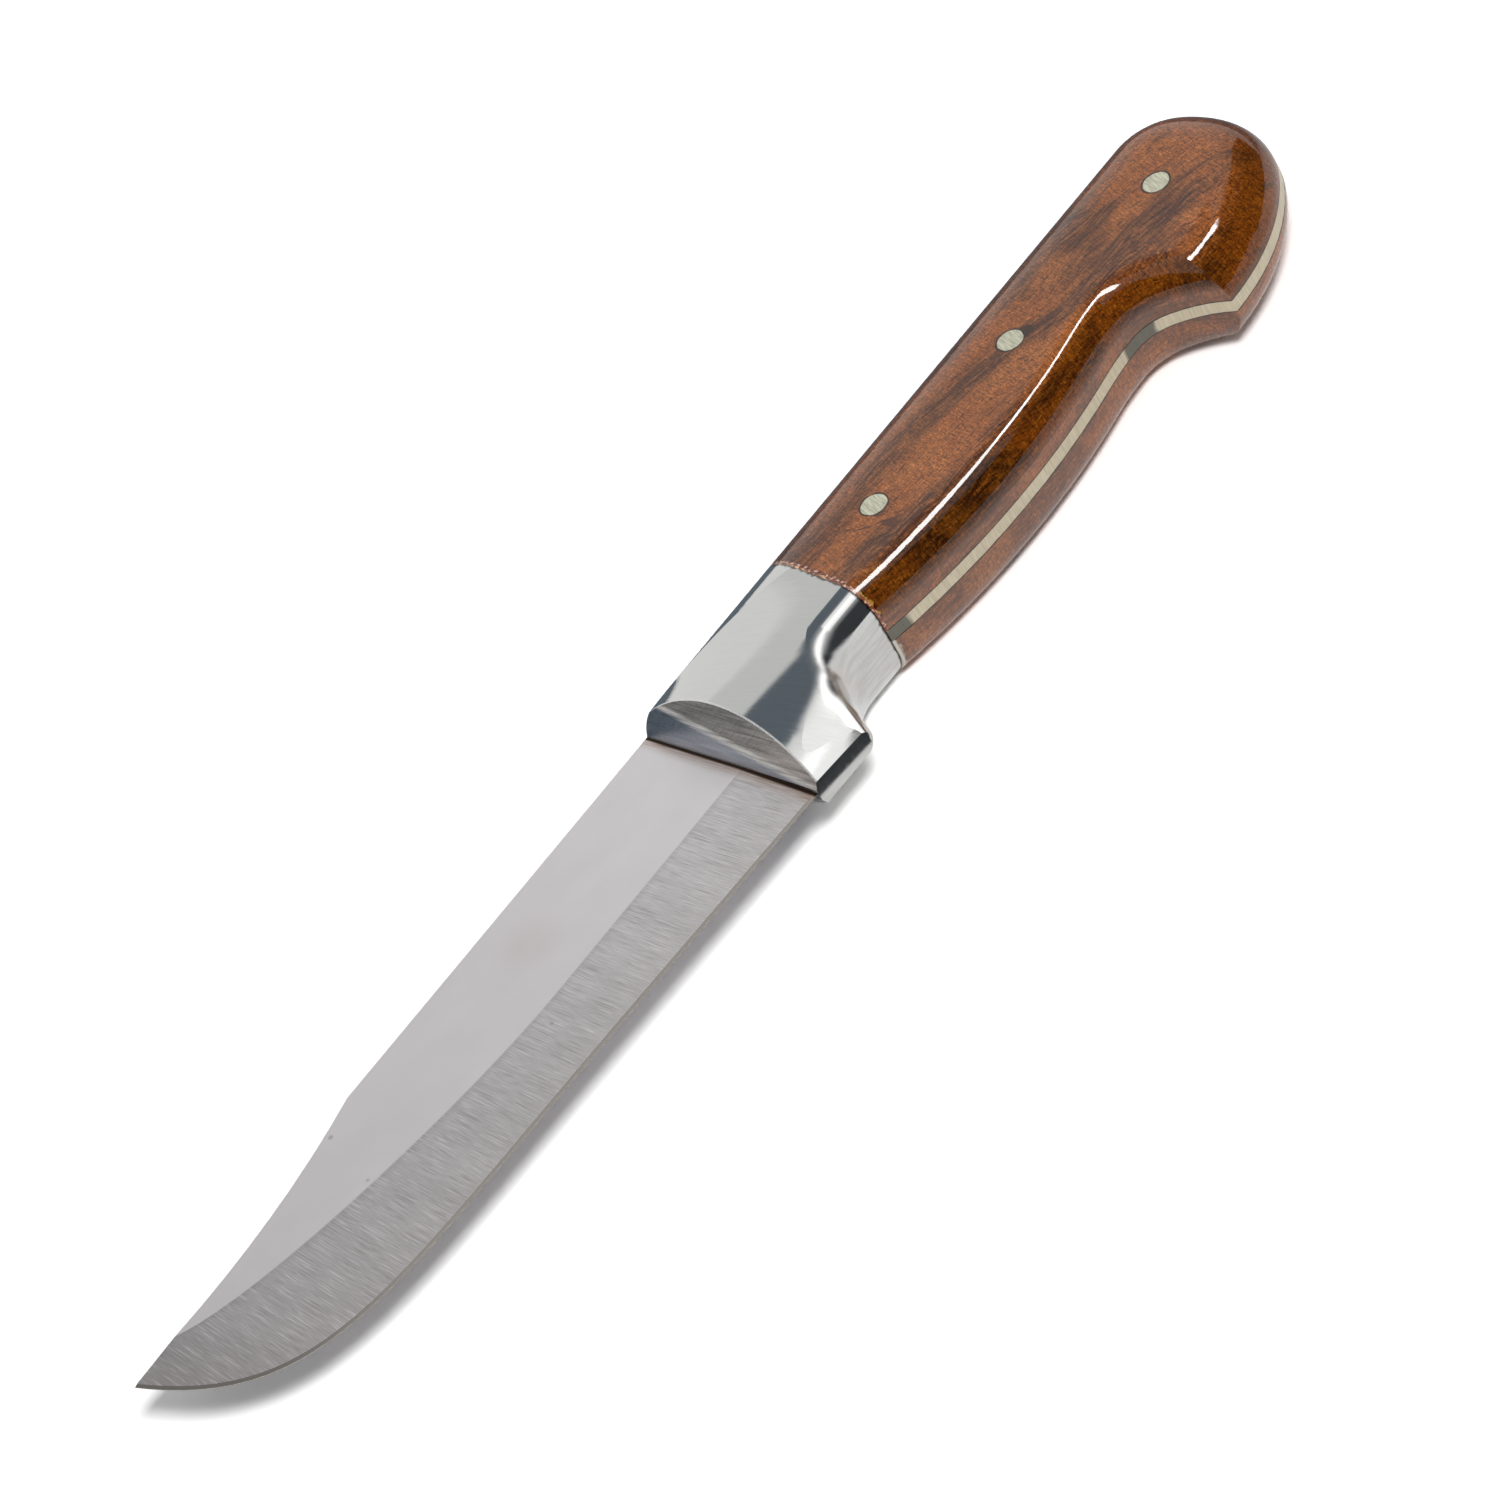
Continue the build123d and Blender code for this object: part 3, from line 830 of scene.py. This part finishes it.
def put_card(name, matrix, cloth):
    """A square card that only gloss sees, sized and placed by the matrix."""
    form = bmesh.new()
    bmesh.ops.create_grid(form, x_segments=1, y_segments=1, size=1)
    mesh = bpy.data.meshes.new(name)
    form.to_mesh(mesh)
    form.free()
    mesh.materials.append(cloth)
    card = bpy.data.objects.new(name, mesh)
    card.matrix_world = matrix
    card.visible_camera = False
    card.visible_diffuse = False
    card.visible_shadow = False
    card.visible_transmission = False
    bpy.context.scene.collection.objects.link(card)


def white_surround(studio):
    """Plain light from all round, and white behind the knife and in its gloss."""
    world = bpy.data.worlds.new("white_surround")
    world.use_nodes = True
    tree = world.node_tree
    tree.nodes.clear()
    path = add(tree, "LightPath")
    seen = number(tree, "MAXIMUM", path.outputs["Is Camera Ray"], path.outputs["Is Glossy Ray"])
    seen = number(tree, "MAXIMUM", seen, path.outputs["Is Transmission Ray"])
    level = ramp(tree, seen, 0, 1, studio.ambient)
    light = add(tree, "Background", {"Strength": level})
    add(tree, "OutputWorld", {"Surface": light})
    bpy.context.scene.world = world


class KNIFE_OT_studio(bpy.types.Operator):
    """Sets the white table, the lamps, the flags and the camera"""

    bl_idname = "knife.studio"
    bl_label = "Set up the studio"

    def execute(self, context):
        studio = context.scene.knife_studio
        form = bmesh.new()
        bmesh.ops.create_circle(form, cap_ends=True, segments=TABLE_SIDES, radius=TABLE_RADIUS)
        mesh = bpy.data.meshes.new("table")
        form.to_mesh(mesh)
        form.free()
        mesh.materials.append(white_table(studio))
        table = bpy.data.objects.new("table", mesh)
        table.location.z = CAD_BOX[0].z
        context.scene.collection.objects.link(table)

        white_surround(studio)
        bolster = NODES["bolster"]
        hang_lamp("key_lamp", (-6, -33), (24, 18), studio.key, 0.5, gloss=False)
        hang_lamp("strip_lamp", (18, -8), (32, 9), studio.strip, 0.3, STRIP_TURN, spare=bolster)
        hang_lamp("butt_strip", (34, -2), (15, 5), studio.strip, 0.3, only=NODES["left_scale"])
        hang_lamp("bolster_strip", (56, -14), (80, 12), studio.gleam, 0.9, only=bolster)
        hang_lamp("bolster_sky", (27, 69), (100, 36), studio.sky, 0.08, only=bolster)
        hang_lamp("bolster_panel", (40, -20), (64, 42), studio.panel, 0.9, only=bolster)
        slate = flag_cloth("slate_flag_cloth", studio.slate, (0.12, 0.2))
        room = flag_cloth("room_flag_cloth", studio.room, (0.08, 0.08))
        pale = flag_cloth("pale_flag_cloth", studio.pale, (0.1, 0.1))
        hang_flag("overhead_flag", (16, 9), (48, 32), slate)
        hang_flag("pale_flag", (16, 37), (60, 24), pale)
        hang_flag("end_flag", (62, -18), (66, 56), room)
        hang_flag("room_flag", (-20, -60), (150, 70), room)
        put_card("table_card", laid(*BEHIND_CARD), slate)
        # Painted shadow: a dark card in the guard's gloss, standing in for the knife's shadow on
        # the table.
        put_card("painted_shadow_card", laid(*SHADOW_STANDIN_CARD), room)

        lens = bpy.data.cameras.new("camera")
        lens.lens = LENS_LENGTH
        camera = bpy.data.objects.new("camera", lens)
        turn = (
            Matrix.Rotation(LENS_AZIMUTH, 4, "Z")
            @ Matrix.Rotation(math.pi / 2 - LENS_ELEVATION, 4, "X")
            @ Matrix.Rotation(LENS_ROLL, 4, "Z")
        )
        camera.matrix_world = (
            Matrix.Translation(AIM) @ turn @ Matrix.Translation((0, 0, LENS_DISTANCE))
        )
        context.scene.collection.objects.link(camera)
        context.scene.camera = camera
        context.scene.view_settings.view_transform = "Standard"
        return {"FINISHED"}


# --- Pieces --------------------------------------------------------------------------------------


class KNIFE_OT_blade(bpy.types.Operator):
    """Finishes the blade and the tang in ground stainless steel"""

    bl_idname = "knife.blade"
    bl_label = "Finish the blade and tang"

    def execute(self, context):
        dress("blade_and_tang", ground_stainless(context.scene.knife_steel))
        return {"FINISHED"}


class KNIFE_OT_bolster(bpy.types.Operator):
    """Polishes the bolster"""

    bl_idname = "knife.bolster"
    bl_label = "Polish the bolster"

    def execute(self, context):
        dress("bolster", mirror_polish(context.scene.knife_steel))
        return {"FINISHED"}


class KNIFE_OT_scales(bpy.types.Operator):
    """Lacquers the two walnut scales"""

    bl_idname = "knife.scales"
    bl_label = "Lacquer the scales"

    def execute(self, context):
        wood = context.scene.knife_wood
        dress("left_scale", lacquered_walnut("left_lacquered_walnut", wood, 0))
        dress("right_scale", lacquered_walnut("right_lacquered_walnut", wood, 0.35))
        return {"FINISHED"}


class KNIFE_OT_rivets(bpy.types.Operator):
    """Brushes the heads of the three rivets"""

    bl_idname = "knife.rivets"
    bl_label = "Brush the rivets"

    def execute(self, context):
        trim = context.scene.knife_trim
        metal = nickel_silver(trim)
        for node in RIVETS:
            dress(node, metal)
        return {"FINISHED"}


class KNIFE_OT_glue(bpy.types.Operator):
    """Darkens the two glue lines"""

    bl_idname = "knife.glue"
    bl_label = "Fill the glue lines"

    def execute(self, context):
        glue = dark_epoxy(context.scene.knife_trim)
        dress("left_adhesive", glue)
        dress("right_adhesive", glue)
        return {"FINISHED"}


class KNIFE_OT_seam(bpy.types.Operator):
    """Fills the seam between the bolster and each scale"""

    bl_idname = "knife.seam"
    bl_label = "Fill the seams"

    def execute(self, context):
        filler = amber_filler(context.scene.knife_trim)
        dress("left_seam_resin", filler)
        dress("right_seam_resin", filler)
        return {"FINISHED"}


OPERATORS = (
    KNIFE_OT_blade,
    KNIFE_OT_bolster,
    KNIFE_OT_scales,
    KNIFE_OT_rivets,
    KNIFE_OT_glue,
    KNIFE_OT_seam,
    KNIFE_OT_studio,
)
SETTINGS = {
    "knife_steel": KnifeSteel,
    "knife_wood": KnifeWood,
    "knife_trim": KnifeTrim,
    "knife_studio": KnifeStudio,
}


class KNIFE_PT_panel(bpy.types.Panel):
    """Lists the knife's settings and the steps that make it"""

    bl_label = "Boning Knife"
    bl_idname = "KNIFE_PT_panel"
    bl_space_type = "VIEW_3D"
    bl_region_type = "UI"
    bl_category = "Knife"

    def draw(self, context):
        for group_name in SETTINGS:
            group = getattr(context.scene, group_name)
            box = self.layout.box()
            for setting in group.bl_rna.properties:
                if setting.identifier not in ("rna_type", "name"):
                    box.prop(group, setting.identifier)
        for operator in OPERATORS:
            self.layout.operator(operator.bl_idname)


def register():
    for group_name, group in SETTINGS.items():
        bpy.utils.register_class(group)
        setattr(bpy.types.Scene, group_name, bpy.props.PointerProperty(type=group))
    for shown in (*OPERATORS, KNIFE_PT_panel):
        bpy.utils.register_class(shown)


def unregister():
    for shown in reversed((*OPERATORS, KNIFE_PT_panel)):
        bpy.utils.unregister_class(shown)
    for group_name, group in SETTINGS.items():
        delattr(bpy.types.Scene, group_name)
        bpy.utils.unregister_class(group)


def main():
    register()
    bpy.ops.knife.blade()
    bpy.ops.knife.bolster()
    bpy.ops.knife.scales()
    bpy.ops.knife.rivets()
    bpy.ops.knife.glue()
    bpy.ops.knife.seam()
    bpy.ops.knife.studio()


if __name__ == "__main__":
    main()
